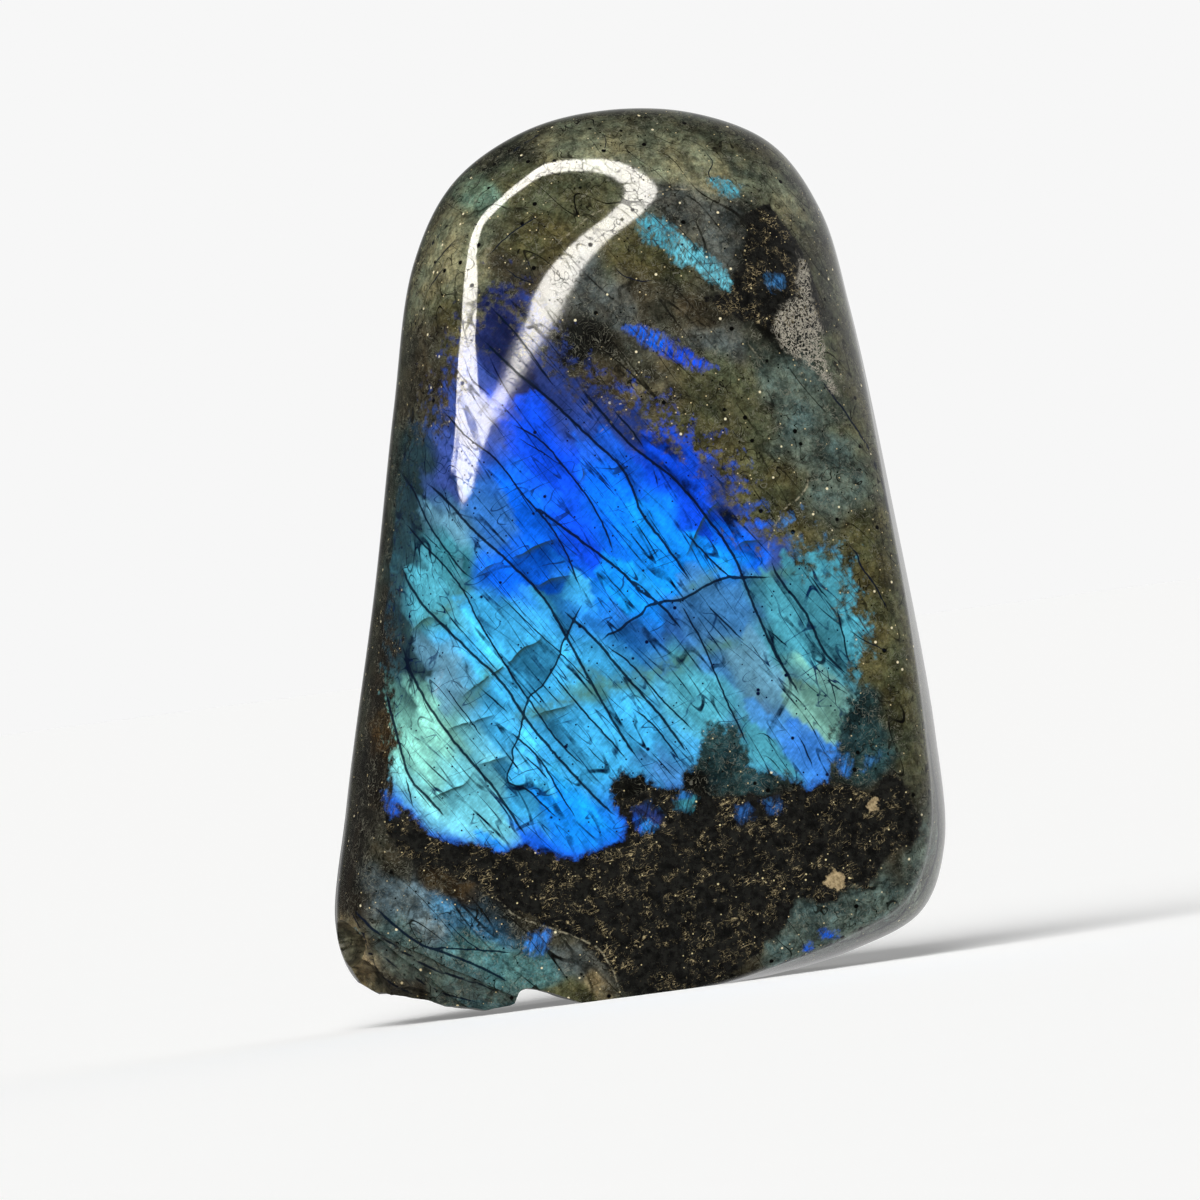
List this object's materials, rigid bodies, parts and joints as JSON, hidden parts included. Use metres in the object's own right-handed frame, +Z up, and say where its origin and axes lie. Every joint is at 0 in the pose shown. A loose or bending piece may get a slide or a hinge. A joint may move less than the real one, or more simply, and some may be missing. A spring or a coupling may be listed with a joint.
{
  "type": "labradorite freeform stone",
  "caption": "Polished labradorite freeform with a domed top and blue flash, standing on a flat sawn base with one corner broken off",
  "frame": {"origin": "centre of the footprint on the plane of the sawn base, below the middle of the overall box", "axes": "+Z up from the sawn base to the dome, -Y out of the broad polished front face, +X to the right seen from the front"},
  "size_m": [0.0619, 0.0306, 0.0879],
  "materials": {
    "labradorite": "ground and polished to a glassy gloss, grey-green with a blue flash"
  },
  "bodies": {
    "root": {"stone": "labradorite"}
  },
  "joints": []
}
